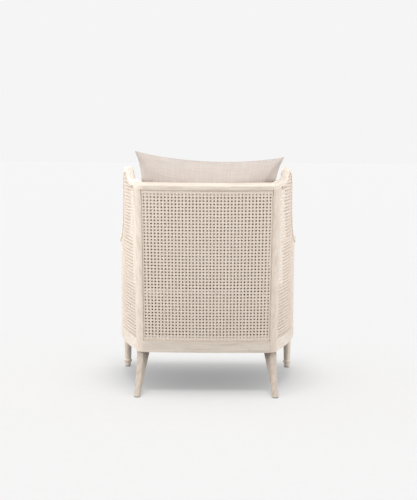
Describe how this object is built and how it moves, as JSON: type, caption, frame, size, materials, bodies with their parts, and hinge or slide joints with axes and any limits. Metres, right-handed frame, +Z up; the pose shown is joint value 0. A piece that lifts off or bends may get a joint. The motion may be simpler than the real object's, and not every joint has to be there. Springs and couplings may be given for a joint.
{
  "type": "armchair",
  "caption": "Lounge armchair with a caned back, caned sides under swept wings, turned front legs, splayed rear legs and loose cushions.",
  "frame": {"origin": "on the floor under the middle of the chair, between the front and rear feet", "axes": "+Z up, the front faces -Y, the sitter's left is +X"},
  "size_m": [0.724, 0.7319, 0.9217],
  "materials": {
    "wood": "limed, satin",
    "inner_wood": "bare",
    "cane": "limed cane webbing",
    "reed": "limed reed",
    "linen": "plain woven linen",
    "deck_cloth": "padded cotton",
    "cover_cloth": "spun-bonded cloth",
    "webbing": "woven jute",
    "steel": "zinc plated",
    "plastic": "moulded"
  },
  "bodies": {
    "root": {"crest_rail": "wood", "left_wing_rail": "wood", "right_wing_rail": "wood", "left_arm": "wood", "right_arm": "wood", "left_back_post": "wood", "right_back_post": "wood", "back_seat_rail": "wood", "left_seat_rail": "wood", "right_seat_rail": "wood", "front_seat_rail": "wood", "left_front_post": "wood", "right_front_post": "wood", "left_rear_leg": "wood", "right_rear_leg": "wood", "back_cane": "cane", "left_cane": "cane", "right_cane": "cane", "back_cane_spline": "reed", "left_cane_spline": "reed", "right_cane_spline": "reed", "corner_blocks": "inner_wood", "block_screws": "steel", "dowels": "inner_wood", "rear_leg_bolts": "steel", "seat_webbing": "webbing", "deck_cloth": "deck_cloth", "dust_cover": "cover_cloth", "foot_glides": "plastic", "seat_cushion": "linen", "back_cushion": "linen"}
  },
  "joints": []
}
